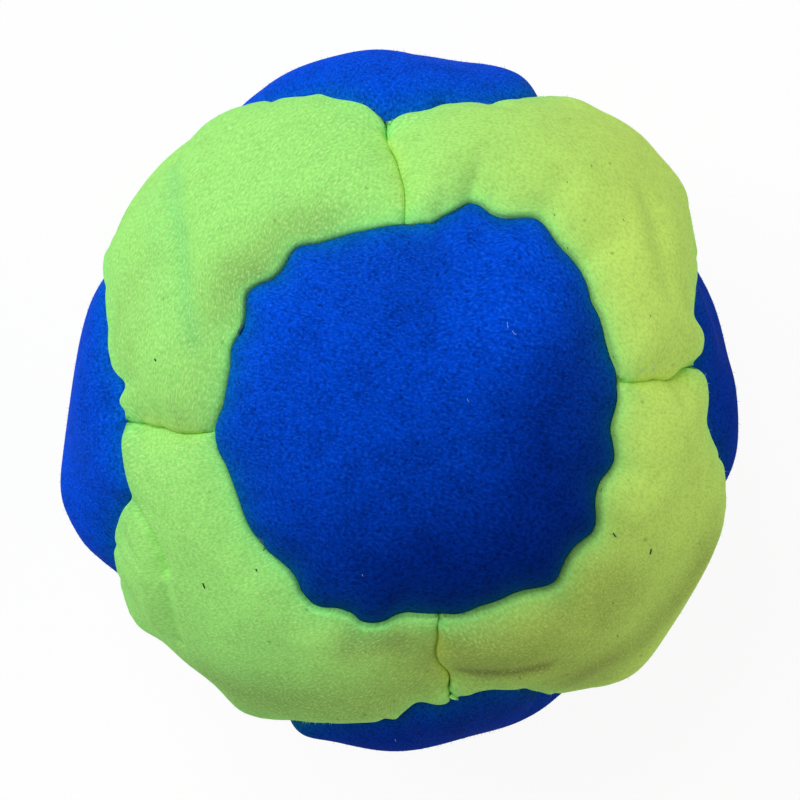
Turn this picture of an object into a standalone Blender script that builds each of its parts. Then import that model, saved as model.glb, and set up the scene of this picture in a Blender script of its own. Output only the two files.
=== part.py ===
"""A footbag at rest: fourteen suede panels sewn together over a fill of loose pellets.

Six round panels face along the axes, and eight corner panels fill the octants between them.
Every panel is one sheet that curls in at its edge, so that two edges meet face to face inside
the bag, where a thread runs in and out through needle holes in both. The bag stands on the
flat that the bottom panel makes on the floor. The origin is on the floor, under the middle.
"""

import math

import bmesh
import bpy
from mathutils import Vector

MM = 0.001

# The whole bag as it lies on a floor, filled and at rest
BAG_WIDTH = 52.0 * MM
BAG_HEIGHT = 48.5 * MM
REST_WIDTH = 18.0 * MM  # across the flat that it settles on
EDGE_SEAM = 9.6 * MM  # each short seam between two corner panels
SEAM_WANDER = 0.45 * MM  # how far hand sewn seams stray from true circles

# The sheet of suede
SUEDE = 0.8 * MM
INNER_BEND = 0.3 * MM  # radius inside the fold where a sheet turns in
LIP_TILT = math.radians(20)  # how steeply a sheet still climbs where its fold ends
CROWN = 1.4 * MM  # how far the fill pushes a panel's middle above its seams
RIM = 3.0 * MM  # from a seam to the rim of the panel's dome
CORNER_LIFT = 0.6 * MM  # how far a corner panel's lip stands over a round panel's
RAW_MARGIN = 0.8 * MM  # sheet left between a needle hole and the raw edge

# Thread and fill
THREAD = 0.5 * MM
KNOT = 0.8 * MM
CLEARANCE = 0.3 * MM  # between pieces that lie against each other
FILL_SLACK = 0.5 * MM  # loose room between the fill and the panels

# Stitches drawn in each quarter of a round seam, and where they cross a short seam: an even
# number in both, so that a thread comes back to the side it started from. Real ones are finer.
ROUND_STITCHES = 4
EDGE_STITCH_SHARES = (0.36, 0.64)

# How far the fill pushes a panel out, against CROWN: (its middle, the rim of its dome). The
# fill lies unevenly, so the upper corner panels at the right stand out most.
ROUND_SWELL_SHARES = (1, 0.5)
CORNER_SWELL_SHARES = (1.2, 0.95)
SWELL_SHARES = {
    "round_panel_top": (1, 0.75),
    "corner_panel_top_back_right": (1.6, 1.25),
    "corner_panel_top_front_right": (1.55, 1.2),
    "corner_panel_top_back_left": (1, 0.85),
    "corner_panel_top_front_left": (0.95, 0.65),
}

# The ring between them: (way from the middle to the rim, way from the rim's swell to the middle's)
HALFWAY_SHARES = (0.5, 0.76)
WANDER_WAVES = 5.0
WANDER_PHASES = (1.3, 0.7, 2.1)
QUARTER_TURN = math.pi / 2
SHARP_ANGLE = math.radians(50)

AXES = {
    "top": Vector((0, 0, 1)),
    "bottom": Vector((0, 0, -1)),
    "left": Vector((-1, 0, 0)),
    "right": Vector((1, 0, 0)),
    "front": Vector((0, -1, 0)),
    "back": Vector((0, 1, 0)),
}

# Worked out from the sizes above
LIP = SUEDE + INNER_BEND  # outer radius of the fold at a seam
HOLE = math.sqrt(2) * (THREAD / 2 + CLEARANCE)  # half a needle hole, corner to corner
STITCH_DEPTH = LIP + HOLE
RAW_DEPTH = LIP + 2 * HOLE + RAW_MARGIN
HALF_GAP = CLEARANCE / 2
THREAD_OFFSET = HALF_GAP + SUEDE + CLEARANCE + THREAD / 2
KNOT_OFFSET = HALF_GAP + SUEDE + CLEARANCE + KNOT / 2
GROOVE = KNOT_OFFSET + KNOT / 2 + CLEARANCE  # half the channel in the fill under a seam
FLAT_SHARE = math.sqrt(1 - (REST_WIDTH / BAG_WIDTH) ** 2)
CROWN_HEIGHT = BAG_HEIGHT / (1 + FLAT_SHARE)  # from the middle up to the top panel's crown
MIDDLE = Vector((0, 0, BAG_HEIGHT - CROWN_HEIGHT))
SEAM_RADIUS = BAG_WIDTH / 2 - CROWN
SEAM_HEIGHT = CROWN_HEIGHT - CROWN
ROUND_ANGLE = (QUARTER_TURN - EDGE_SEAM / SEAM_RADIUS) / 2


def wandering(direction):
    """The direction that a hand sewn seam takes where a true one would take this direction."""
    stray = SEAM_WANDER / SEAM_RADIUS
    turned = (direction.y, direction.z, direction.x)
    waves = [math.sin(WANDER_WAVES * t + phase) for t, phase in zip(turned, WANDER_PHASES)]
    return (direction + stray * Vector(waves)).normalized()


def level_point(d):
    """Where the smooth surface that all seams lie in is met in this direction, and its way out."""
    point = MIDDLE + Vector((SEAM_RADIUS * d.x, SEAM_RADIUS * d.y, SEAM_HEIGHT * d.z))
    way_out = Vector((d.x / SEAM_RADIUS, d.y / SEAM_RADIUS, d.z / SEAM_HEIGHT))
    return point, way_out.normalized()


def direction_of(point):
    """The direction in which that surface passes closest under or over this point."""
    x, y, z = point - MIDDLE
    return Vector((x / SEAM_RADIUS, y / SEAM_RADIUS, z / SEAM_HEIGHT)).normalized()


def corner_direction(axis, beside):
    """Where the round seam about one axis meets the short seam that runs on to the next axis."""
    return math.cos(ROUND_ANGLE) * axis + math.sin(ROUND_ANGLE) * beside


def round_directions(axis, first, second):
    """The needle holes in the quarter of a round seam from one neighbouring axis to the next."""
    found = []
    for i in range(1, ROUND_STITCHES + 1):
        turn = QUARTER_TURN * i / (ROUND_STITCHES + 1)
        beside = math.cos(turn) * first + math.sin(turn) * second
        found.append(corner_direction(axis, beside))
    return found


def edge_directions(axis, other):
    """The needle holes in the short seam from one round seam to the next."""
    start, end = corner_direction(axis, other), corner_direction(other, axis)
    return [start.lerp(end, share).normalized() for share in EDGE_STITCH_SHARES]


def round_outline(axis):
    """(direction, stitched) round a round panel, anticlockwise from outside."""
    first = AXES["right"] if axis.x == 0 else AXES["back"]
    turns = [first, axis.cross(first), -first, -axis.cross(first)]
    outline = []
    for here, following in zip(turns, turns[1:] + turns[:1]):
        outline.append((corner_direction(axis, here), False))
        outline += [(d, True) for d in round_directions(axis, here, following)]
    return outline


def corner_outline(axes):
    """(direction, stitched) round the corner panel between three axes, anticlockwise."""
    a, b, c = axes
    if a.cross(b).dot(c) < 0:
        b, c = c, b
    outline = []
    for here, following, last in ((a, b, c), (b, c, a), (c, a, b)):
        outline.append((corner_direction(here, following), False))
        outline += [(d, True) for d in edge_directions(here, following)]
        outline.append((corner_direction(following, here), False))
        outline += [(d, True) for d in round_directions(following, here, last)]
    return outline


def inward(previous, here, following, way_out):
    """The way from a seam into the panel, mitred so that both edges stay parallel to it."""
    before = way_out.cross(here - previous).normalized()
    after = way_out.cross(following - here).normalized()
    return (before + after) / (1 + before.dot(after))


class Seam:
    """The seam round one panel: its points, the ways out of the bag and into the panel."""

    def __init__(self, outline):
        self.directions = [direction for direction, _ in outline]
        self.stitched = [stitched for _, stitched in outline]
        self.points, self.outs = zip(*[level_point(wandering(d)) for d in self.directions])
        self.count = len(outline)
        self.ins = [
            inward(self.points[j - 1], self.points[j], self.points[(j + 1) % self.count], self.outs[j])
            for j in range(self.count)
        ]

    def at(self, j, into, depth):
        """A point beside the seam's point j: that far into the panel and under the seams."""
        j %= self.count
        return self.points[j] + self.ins[j] * into - self.outs[j] * depth

    def along(self, j, step, into, depth):
        """The same, but moved along the seam towards the next point, or back if below zero."""
        here = self.at(j, into, depth)
        towards = self.at(j + (1 if step > 0 else -1), into, depth)
        return here + (towards - here).normalized() * abs(step)


def dome_point(direction, crown_share, sink):
    """A point of a panel's dome, or of what lies that far under it."""
    point, way_out = level_point(direction)
    return point + way_out * (CROWN * crown_share - sink)


def dome_ring(seam, middle, way_share, crown_share, sink=0.0):
    rims = [direction_of(seam.at(j, RIM, 0)) for j in range(seam.count)]
    return [
        dome_point(middle.lerp(rim, way_share).normalized(), crown_share, sink) for rim in rims
    ]


def dome_top(seam, middle, swell, sink=0.0):
    """The middle of a panel's dome and the ring halfway down it, or of what lies under them."""
    middle_share, rim_share = swell
    way_share, between = HALFWAY_SHARES
    halfway_share = rim_share + (middle_share - rim_share) * between
    halfway = dome_ring(seam, middle, way_share, halfway_share, sink)
    return dome_point(middle, middle_share, sink), halfway


def rest_ring(seam, height):
    """The round rim of the flat that the bag rests on."""
    ring = []
    for point in seam.points:
        x, y, _ = Vector((point.x, point.y, 0)).normalized() * REST_WIDTH / 2
        ring.append(Vector((x, y, height)))
    return ring


def join_rings(bm, upper, lower):
    """Quads between two rings. A point of a ring is a pair of vertices where a hole splits it."""
    for j, (left, right) in enumerate(upper):
        next_left, next_right = j + 1 - len(upper), j
        bm.faces.new((right, lower[next_right][1], lower[next_left][0], upper[next_left][0]))


def add_ring(bm, points):
    """A ring of single vertices, each listed as a pair."""
    return [(v, v) for v in (bm.verts.new(p) for p in points)]


def close_middle(bm, point, ring):
    centre = bm.verts.new(point)
    for j, (vertex, _) in enumerate(ring):
        bm.faces.new((centre, vertex, ring[j + 1 - len(ring)][0]))


def needle_hole_ring(bm, seam):
    """The ring through the widest part of the needle holes, split in two at each hole."""
    ring = []
    for j in range(seam.count):
        if not seam.stitched[j]:
            v = bm.verts.new(seam.at(j, HALF_GAP, STITCH_DEPTH))
            ring.append((v, v))
            continue
        left = bm.verts.new(seam.along(j, -HOLE, HALF_GAP, STITCH_DEPTH))
        right = bm.verts.new(seam.along(j, HOLE, HALF_GAP, STITCH_DEPTH))
        ring.append((left, right))
    return ring


def material(name, colour, roughness):
    made = bpy.data.materials.new(name)
    made.use_nodes = True
    shader = made.node_tree.nodes["Principled BSDF"]
    shader.inputs["Base Color"].default_value = (*colour, 1)
    shader.inputs["Roughness"].default_value = roughness
    shader.inputs["Metallic"].default_value = 0
    return made


def add_object(name, data, finish):
    obj = bpy.data.objects.new(name, data)
    obj.data.materials.append(finish)
    bpy.context.scene.collection.objects.link(obj)
    return obj


def add_mesh(name, bm, finish):
    bm.normal_update()
    mesh = bpy.data.meshes.new(name)
    bm.to_mesh(mesh)
    bm.free()
    mesh.shade_smooth()
    mesh.set_sharp_from_angle(angle=SHARP_ANGLE)
    return add_object(name, mesh, finish)


def build_panel(name, outline, middle, finish, swell, lift=0.0, rests=False):
    """One suede panel: its outer face is drawn, and Solidify gives the sheet its thickness."""
    seam = Seam(outline)
    bm = bmesh.new()
    if rests:
        centre = Vector((0, 0, 0))
        halfway = rest_ring(seam, 0)
    else:
        centre, halfway = dome_top(seam, middle, swell)
    ring = add_ring(bm, halfway)
    close_middle(bm, centre, ring)
    rim = dome_ring(seam, middle, 1, swell[1])
    fold_end = QUARTER_TURN - LIP_TILT
    folds = []
    for turn in (fold_end, fold_end / 2, 0):
        into = HALF_GAP + LIP * (1 - math.cos(turn))
        depth = LIP * (1 - math.sin(turn)) - lift
        folds.append([seam.at(j, into, depth) for j in range(seam.count)])
    for points in [rim] + folds:
        lower = add_ring(bm, points)
        join_rings(bm, ring, lower)
        ring = lower
    lower = needle_hole_ring(bm, seam)
    join_rings(bm, ring, lower)
    ring = lower
    for depth in (STITCH_DEPTH + HOLE, RAW_DEPTH):
        lower = add_ring(bm, [seam.at(j, HALF_GAP, depth) for j in range(seam.count)])
        join_rings(bm, ring, lower)
        ring = lower
    panel = add_mesh(name, bm, finish)
    sheet = panel.modifiers.new("Suede sheet", "SOLIDIFY")
    sheet.thickness = SUEDE
    sheet.offset = -1
    sheet.use_even_offset = True
    return panel


def add_fill_lobe(bm, outline, middle, swell, rests=False):
    """The fill under one panel, down to the floor of the channel that its seams press in it."""
    seam = Seam(outline)
    sink = SUEDE + FILL_SLACK
    if rests:
        centre = Vector((0, 0, sink))
        halfway = rest_ring(seam, sink)
    else:
        centre, halfway = dome_top(seam, middle, swell, sink)
    ring = add_ring(bm, halfway)
    close_middle(bm, centre, ring)
    floor = RAW_DEPTH + CLEARANCE
    for into, depth in ((GROOVE, SUEDE + CLEARANCE), (GROOVE, floor), (0, floor)):
        lower = add_ring(bm, [seam.at(j, into, depth) for j in range(seam.count)])
        join_rings(bm, ring, lower)
        ring = lower


def knot_points(seam, j, step):
    """(point, radius share) from a thread's cut end through the knot, to beside it."""
    sign = math.copysign(1, step)
    places = (
        (abs(step) - KNOT / 2, KNOT_OFFSET, 1),
        (abs(step), KNOT_OFFSET, KNOT / THREAD),
        (abs(step) + KNOT / 2, KNOT_OFFSET, 1),
    )
    return [(seam.along(j, sign * s, into, STITCH_DEPTH), share) for s, into, share in places]


def running_stitch(seam, stitches, side):
    """Points in and out through the holes: beside each one, first on this side, then across."""
    points = []
    for j in stitches:
        for here in (side, -side):
            points.append((seam.at(j, here * THREAD_OFFSET, STITCH_DEPTH), 1))
        side = -side
    return points


def build_thread(name, points, finish):
    curve = bpy.data.curves.new(name, "CURVE")
    curve.dimensions = "3D"
    curve.bevel_depth = THREAD / 2
    curve.bevel_resolution = 1
    curve.use_fill_caps = True
    spline = curve.splines.new("POLY")
    spline.points.add(len(points) - 1)
    for place, (point, share) in zip(spline.points, points):
        place.co = (*point, 1)
        place.radius = share
    return add_object(name, curve, finish)


def build_round_thread(name, axis, finish):
    """The thread once round a round panel. It passes each corner on that panel's own side."""
    seam = Seam(round_outline(axis))
    points = knot_points(seam, 0, KNOT)
    for quarter in range(4):
        corner = quarter * (ROUND_STITCHES + 1)
        if quarter:
            points.append((seam.at(corner, THREAD_OFFSET, STITCH_DEPTH), 1))
        stitches = range(corner + 1, corner + 1 + ROUND_STITCHES)
        points += running_stitch(seam, stitches, 1)
    points += reversed(knot_points(seam, 0, -KNOT))
    return build_thread(name, points, finish)


def build_edge_thread(name, axis, other, finish):
    """The thread of a short seam, knotted at both ends clear of the sheets that it runs into."""
    beside = axis.cross(other)
    seam = Seam(corner_outline((axis, other, beside)))
    start = seam.directions.index(corner_direction(axis, other))
    end = start + len(EDGE_STITCH_SHARES) + 1
    points = knot_points(seam, start, KNOT / 2)
    points += running_stitch(seam, range(start + 1, end), 1)
    points += reversed(knot_points(seam, end, -KNOT / 2))
    return build_thread(name, points, finish)


def main():
    for obj in list(bpy.data.objects):
        bpy.data.objects.remove(obj, do_unlink=True)

    blue_suede = material("blue_suede", (0.0, 0.07, 0.62), 0.95)
    lime_suede = material("lime_suede", (0.42, 0.88, 0.12), 0.95)
    sewing_thread = material("sewing_thread", (0.02, 0.04, 0.2), 0.6)
    pellets = material("pellets", (0.75, 0.75, 0.72), 0.5)

    fill = bmesh.new()
    for place, axis in AXES.items():
        name = f"round_panel_{place}"
        outline = round_outline(axis)
        swell = SWELL_SHARES.get(name, ROUND_SWELL_SHARES)
        rests = place == "bottom"
        build_panel(name, outline, axis, blue_suede, swell, rests=rests)
        build_round_thread(f"round_thread_{place}", axis, sewing_thread)
        add_fill_lobe(fill, outline, axis, swell, rests)

    for high in ("top", "bottom"):
        for deep in ("front", "back"):
            for side in ("left", "right"):
                name = f"corner_panel_{high}_{deep}_{side}"
                axes = (AXES[high], AXES[deep], AXES[side])
                outline = corner_outline(axes)
                middle = (axes[0] + axes[1] + axes[2]).normalized()
                swell = SWELL_SHARES.get(name, CORNER_SWELL_SHARES)
                build_panel(name, outline, middle, lime_suede, swell, CORNER_LIFT)
                add_fill_lobe(fill, outline, middle, swell)

    places = list(AXES)
    for i, first in enumerate(places):
        for second in places[i + 1 :]:
            if AXES[first].dot(AXES[second]) == 0:
                name = f"edge_thread_{first}_{second}"
                build_edge_thread(name, AXES[first], AXES[second], sewing_thread)

    bmesh.ops.remove_doubles(fill, verts=fill.verts, dist=CLEARANCE / 10)
    add_mesh("pellet_fill", fill, pellets)


main()
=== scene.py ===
import math

import bmesh
import bpy
import numpy as np
from mathutils import Matrix, Vector
from mathutils.bvhtree import BVHTree


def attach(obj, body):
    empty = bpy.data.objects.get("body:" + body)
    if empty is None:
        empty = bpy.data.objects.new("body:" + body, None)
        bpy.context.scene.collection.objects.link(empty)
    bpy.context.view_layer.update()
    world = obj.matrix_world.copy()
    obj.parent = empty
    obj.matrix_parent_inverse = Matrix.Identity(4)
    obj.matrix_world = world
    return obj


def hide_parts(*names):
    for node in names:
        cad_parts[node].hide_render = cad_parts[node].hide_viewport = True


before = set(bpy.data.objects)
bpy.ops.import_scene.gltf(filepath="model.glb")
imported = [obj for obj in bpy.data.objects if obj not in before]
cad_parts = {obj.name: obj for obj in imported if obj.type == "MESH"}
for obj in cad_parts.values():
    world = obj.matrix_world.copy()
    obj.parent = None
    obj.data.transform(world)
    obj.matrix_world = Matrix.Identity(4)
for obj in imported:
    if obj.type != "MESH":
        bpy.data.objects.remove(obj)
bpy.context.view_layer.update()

# A hand sewn footbag: fourteen puffed suede panels over plastic pellets, seen from above.
# Lengths are millimetres up to the last step of each piece, where they become metres.
mm = 0.001
chance = np.random.default_rng(14)

# The surface that all seams lie in, as the CAD has it
bag = {
    "seamRadius": 24.6,
    "seamHeight": 23.62,
    "middleHeight": 23.48,
    "shortSeam": 9.6,       # each seam between two lime panels
    "cadStray": 0.45,       # how far the CAD's seams wander
    "cadWaves": 5.0,
    "cadPhases": (1.3, 0.7, 2.1),
}
seamRadius = bag["seamRadius"]
quarterTurn = math.pi / 2
roundAngle = (quarterTurn - bag["shortSeam"] / seamRadius) / 2
bagMiddle = np.array([0, 0, bag["middleHeight"]])
bagRadii = np.array([seamRadius, seamRadius, bag["seamHeight"]])

axes = {
    "top": np.array([0.0, 0, 1]),
    "bottom": np.array([0.0, 0, -1]),
    "left": np.array([-1.0, 0, 0]),
    "right": np.array([1.0, 0, 0]),
    "front": np.array([0.0, -1, 0]),
    "back": np.array([0.0, 1, 0]),
}

# The camera, which also turns a pixel of the photograph into a place on the bag
shot = {
    "pixels": 800,
    "sensor": 36,
    "focalPixels": 2631,
    "distance": 200,            # from the bag's middle
    "middlePixel": (401, 400),  # where the bag's middle shows
    "roll": 6.4,                # degrees that the bag is turned anticlockwise
    "lean": (0.046, -0.011),    # how far the bag's top leans to the right and up
}


def unit(v):
    return v / np.linalg.norm(v, axis=-1, keepdims=True)


def addObject(name, data):
    made = bpy.data.objects.new(name, data)
    bpy.context.scene.collection.objects.link(made)
    return made


def cameraAxes():
    roll = math.radians(shot["roll"])
    right = np.array([math.cos(roll), -math.sin(roll), 0])
    up = np.array([math.sin(roll), math.cos(roll), 0])
    back = unit(axes["top"] - shot["lean"][0] * right - shot["lean"][1] * up)
    right = unit(right - right.dot(back) * back)
    return right, np.cross(back, right), back


camRight, camUp, camBack = cameraAxes()
camPlace = bagMiddle + shot["distance"] * camBack


def addCamera():
    data = bpy.data.cameras.new("camera")
    data.sensor_width = shot["sensor"]
    data.lens = shot["focalPixels"] / shot["pixels"] * shot["sensor"]
    half = shot["pixels"] / 2
    data.shift_x = -(shot["middlePixel"][0] - half) / shot["pixels"]
    data.shift_y = (shot["middlePixel"][1] - half) / shot["pixels"]
    data.clip_start = 0.01
    camera = addObject("camera", data)
    turned = np.eye(4)
    turned[:3, 0], turned[:3, 1], turned[:3, 2] = camRight, camUp, camBack
    turned[:3, 3] = camPlace * mm
    camera.matrix_world = Matrix(turned)
    bpy.context.scene.camera = camera


def raysAt(pixels):
    x, y = np.array(pixels, float).reshape(-1, 2).T
    x = (x - shot["middlePixel"][0]) / shot["focalPixels"]
    y = -(y - shot["middlePixel"][1]) / shot["focalPixels"]
    return x[:, None] * camRight + y[:, None] * camUp - camBack


def placesAt(pixels, lift=0.0):
    # Where rays through these pixels of the photograph meet the surface that far over the seams
    ray = raysAt(pixels)
    radii = bagRadii + np.reshape(lift, (-1, 1))
    p, d = (camPlace - bagMiddle) / radii, ray / radii
    a, b, c = (d * d).sum(1), (d * p).sum(1), (p * p).sum(1) - 1
    reach = (-b - np.sqrt(np.maximum(b * b - a * c, 0))) / a
    return camPlace + reach[:, None] * ray


def directionsAt(pixels, lift=0.0):
    return unit((placesAt(pixels, lift) - bagMiddle) / bagRadii)


# Seams. Each is a loop or line of samples: how far it strays sideways, which of its two
# panels lies over the other (1 for the lime one, or the one on the side of its normal),
# and how hard the stitches pull it down there.

seams = {
    "samples": 720,
    "stitchGap": (2.6, 6.0),     # between stitches that pull a seam in
    "stitchWidth": 0.65,
    "stray": 0.42,               # how far unseen seams stray from stitch to stitch
    "drift": 0.5,                # and over longer stretches
    "fadeOut": 7.5,              # how far outside a round panel its seam's straying is felt
    "fadeIn": 12.0,              # and how far inside it
    "fadeShort": 5.0,            # and beside a short seam
    "traceDepth": 0.45,          # what shows of the top seam lies this far under the level
    "traceDepthSide": 0.5,       # and this much more where the lime hangs over it
    "traceGap": 0.5,             # a trace with a wider gap than this turn has two ends
    "traceHeld": 0.35,           # turn past an end before the seam leaves its line
    "traceFade": 0.5,            # and turn that it then takes
    "shortLift": 0.3,            # how far over the level the short seams' traces lie
    "knots": 3.0,                # between the points that a short seam strays at
    "knotJitter": 0.8,
    "mostHidden": 2.6,           # farthest that a lip hides of a side panel
    "sidesOver": 2.3,            # how far the lime stands over the side panels
    "rounding": 0.22,            # radius that softens the seams' corners
}

# Seams as the photograph shows them, in its pixels
topSeamTrace = [
    (404, 226), (390, 228), (360, 234), (340, 239), (325, 244.5), (316, 247), (306, 247.5),
    (297, 251), (291, 258), (287, 267), (281, 275), (274, 281), (262, 284.5), (255, 289),
    (249, 294), (247, 300), (247, 307), (247.5, 314), (246, 322), (242, 333), (237, 340),
    (233, 350), (232, 366), (230, 380), (226, 400), (217, 420), (217, 432), (220, 445),
    (227, 460), (233, 477), (240, 497), (249, 520), (256, 532), (264, 541), (270, 549),
    (280, 557), (291, 567), (299, 578), (302, 588), (308, 594), (315, 601), (325, 604),
    (337, 604.5), (347, 608), (355, 611), (359, 617), (365, 619), (374, 619.5), (384, 618),
    (392, 613), (405, 610), (420, 611), (435, 612.5), (448, 612), (462, 609), (478, 604),
    (495, 597), (510, 590), (522, 586), (535, 583.5), (545, 581), (553, 576), (557, 567),
    (562, 556), (568, 548), (575, 541), (582, 536), (589, 531), (593, 522), (593, 512),
    (592, 500), (594, 490), (598, 479), (604, 473), (609, 467), (611, 459), (610, 445),
    (608, 430), (609, 420), (613.5, 398), (614.5, 384), (613, 372), (608.5, 359), (603, 340),
    (597, 320), (590, 303), (585, 290), (581, 279), (577, 268), (570, 262), (560, 253),
    (551, 243), (546, 235), (541, 228), (533, 222), (525, 221.5), (510, 222), (500, 221),
    (490, 216), (478, 208), (467, 204), (459, 210.5), (449, 216), (440, 218.5), (434, 222),
    (425, 226),
]
sideSeamTraces = {
    "back": [
        (243, 101), (255, 98), (293, 99), (314, 99), (331, 99.6), (348, 103), (360, 107),
        (373, 114.7), (386, 123), (390, 121), (402.6, 116.8), (419.5, 115), (432, 112.6),
        (444.7, 108), (455, 105), (472, 105), (491, 106), (510, 103), (525, 101), (538, 99),
    ],
    "right": [
        (696, 245), (696.5, 259), (696.6, 273), (696, 283), (693.3, 298), (692.5, 310),
        (693.3, 317), (699, 324.6), (702.4, 331), (705, 341), (704.4, 349), (702.4, 356),
        (695.8, 362.6), (693, 367), (700.7, 372.6), (705.7, 378.4), (708, 389), (709, 400.7),
        (708, 417), (708, 429), (710.7, 440.5), (715.6, 452), (721.4, 465), (724.7, 480),
    ],
    "front": [
        (283, 720), (300, 720.7), (311.5, 719), (328.7, 720.7), (347.8, 723.6), (365, 725),
        (380.4, 722.6), (391.8, 719.7), (397.6, 713), (407, 708), (422.4, 707.7),
        (437.7, 708.8), (447.3, 704.4), (451, 699), (464.5, 697), (472.2, 694),
        (483.7, 691), (495, 689), (510.4, 688.6), (529.6, 687.8), (544.9, 689.7),
        (554.4, 692.4), (563, 694),
    ],
    "left": [
        (104.8, 286.7), (105.7, 303), (107, 321.8), (108, 344), (112, 362.5), (117.8, 373.6),
        (124.2, 382), (125, 392), (122.4, 401), (120.5, 409.7), (123.3, 418), (128, 421.7),
        (125, 432.8), (124.2, 445.8), (126, 460.6), (128.9, 477), (132.6, 492), (135.3, 502),
        (127, 512), (121.5, 523.5), (117.8, 536.4), (116.8, 547.5), (117, 560), (119.5, 574),
    ],
}
# How far over the level the lime lips lie that hide each side seam, from pixel to pixel
sideLifts = {
    "back": [((243, 101), -1.4), ((331, 99.6), 1.0), ((386, 123), 0.9), ((538, 99), 0.9)],
    "right": [((696.6, 273), 1.0), ((724.7, 480), 1.0)],
    "front": [((283, 720), -0.6), ((365, 725), 0.6), ((407, 708), 1.2), ((563, 694), 0.9)],
    "left": [((104.8, 286.7), 1.1), ((116.8, 547.5), 0.9)],
}
shortSeamTraces = {
    ("top", "back"): [
        (403, 222), (402, 205), (400, 190), (399, 172), (396, 158), (394, 145), (390, 132),
        (386, 124),
    ],
    ("top", "right"): [
        (615, 381), (635, 379), (650, 377), (660, 377.5), (670, 378), (680, 374), (690, 370),
        (694, 367),
    ],
    ("top", "front"): [
        (441, 614), (441, 627), (439, 640), (439.5, 655), (442, 665), (446, 672),
        (450, 675.5), (451, 690), (450, 699),
    ],
    ("top", "left"): [
        (217, 433), (205, 433), (188, 432.5), (172, 430), (160, 427), (145, 424), (127, 421),
    ],
}
# How far the lime lies over the blue at these places, from -1 to 1
topSeamSides = [
    ((404, 226), 0.5), ((430, 222), 0.6), ((467, 204), 1), ((525, 221), 1.1), ((560, 253), 0.9),
    ((590, 303), 0.9), ((614, 384), 1.3), ((611, 445), 1.4), ((593, 512), 1.5),
    ((557, 567), 1.5), ((500, 595), 1.5), ((440, 613), 1.2), ((384, 618), 1.2),
    ((325, 604), 1.3), ((291, 567), 0.8), ((240, 497), 0.2), ((218, 425), -0.2),
    ((232, 366), 0), ((242, 333), 0.6), ((248, 300), 1), ((281, 275), 1),
    ((297, 251), 1), ((325, 244), 0.8), ((370, 232), 0.5),
]
topSeamStitches = [
    (404, 226), (434, 221), (467, 204), (490, 215), (541, 229), (577, 268), (590, 303),
    (617, 384), (610, 428), (608, 468), (593, 516), (557, 566), (520, 586), (478, 604),
    (440, 613), (400, 611), (356, 612), (302, 588), (264, 541), (240, 497), (217, 428),
    (232, 366), (242, 331), (247, 300), (262, 284), (291, 257), (340, 239),
]


def turnFrame(place):
    axis = axes[place]
    first = axes["right"] if axis[0] == 0 else axes["back"]
    return axis, first, np.cross(axis, first)


def roundPlace(place, d):
    # Turn about a round panel's axis, and how far outside its seam each direction lies
    axis, first, second = turnFrame(place)
    beside = np.arccos(np.clip(d @ axis, -1, 1)) - roundAngle
    return np.arctan2(d @ second, d @ first) % (2 * math.pi), beside * seamRadius


def shortPlace(pair, d):
    # How far along a short seam from its middle, and how far beside it, each direction lies
    a, b = axes[pair[0]], axes[pair[1]]
    along = np.arctan2(d @ b, d @ a) - quarterTurn / 2
    return along * seamRadius, np.arcsin(np.clip(d @ np.cross(a, b), -1, 1)) * seamRadius


loopRadius = seamRadius * math.sin(roundAngle)
loopTurns = np.arange(seams["samples"]) * 2 * math.pi / seams["samples"]
loopLength = 2 * math.pi * loopRadius
lineReach = 9.0
linePlaces = np.linspace(-lineReach, lineReach, 181)


def softened(values, spacing, radius, loop):
    half = max(int(3 * radius / spacing), 1)
    weights = np.exp(-(np.arange(-half, half + 1) * spacing / radius) ** 2)
    padded = np.pad(values, half, mode="wrap" if loop else "edge")
    return np.convolve(padded, weights / weights.sum(), "valid")


def stitchPlaces(length):
    places = [chance.uniform(0, 2)]
    while places[-1] < length:
        places.append(places[-1] + chance.uniform(*seams["stitchGap"]))
    return np.array(places[:-1])


def loopThrough(turns, values):
    return np.interp(loopTurns, turns, values, period=2 * math.pi)


def pullOf(places, stitches, length=None):
    # Some stitches are drawn tight and others hardly show
    apart = np.abs(places[:, None] - stitches[None, :])
    if length:
        apart = np.minimum(apart, length - apart)
    tightness = chance.uniform(0, 1, len(stitches))
    return (tightness * np.exp(-(apart / seams["stitchWidth"]) ** 2)).max(axis=1)


def looseLoop():
    stitches = stitchPlaces(loopLength - 2)
    turns = stitches / loopRadius
    stray = loopThrough(turns, chance.normal(0, seams["stray"], len(turns)))
    drift = np.zeros(len(loopTurns))
    for k in (2, 3, 4, 5):
        drift += np.sin(k * loopTurns + chance.uniform(0, 6.28)) * seams["drift"] / k
    side = sum(
        np.sin(k * loopTurns + chance.uniform(0, 6.28)) * chance.uniform(0.2, 0.5)
        for k in (1, 2, 3, 5, 7)
    )
    side = np.clip(side + 0.5, -1, 1.5)
    return {"shift": stray + drift, "side": side, "stitches": stitches}


roundSeams = {place: looseLoop() for place in axes}


def traceRound(place, pixels, lift):
    turns, beside = roundPlace(place, directionsAt(pixels, lift))
    order = np.argsort(turns)
    turns, beside = turns[order], beside[order]
    gaps = np.diff(np.append(turns, turns[0] + 2 * math.pi))
    widest = int(np.argmax(gaps))
    traced = loopThrough(turns, beside)
    if gaps[widest] < seams["traceGap"]:
        return traced, np.ones(len(traced))
    start, end = turns[(widest + 1) % len(turns)], turns[widest]
    span = (end - start) % (2 * math.pi)
    into = (loopTurns - start) % (2 * math.pi)
    within = np.where(into < span, 1.0, 0.0)
    away = np.minimum(np.abs(into - span), 2 * math.pi - into) - seams["traceHeld"]
    return traced, np.maximum(within, np.clip(1 - away / seams["traceFade"], 0, 1))


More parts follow.
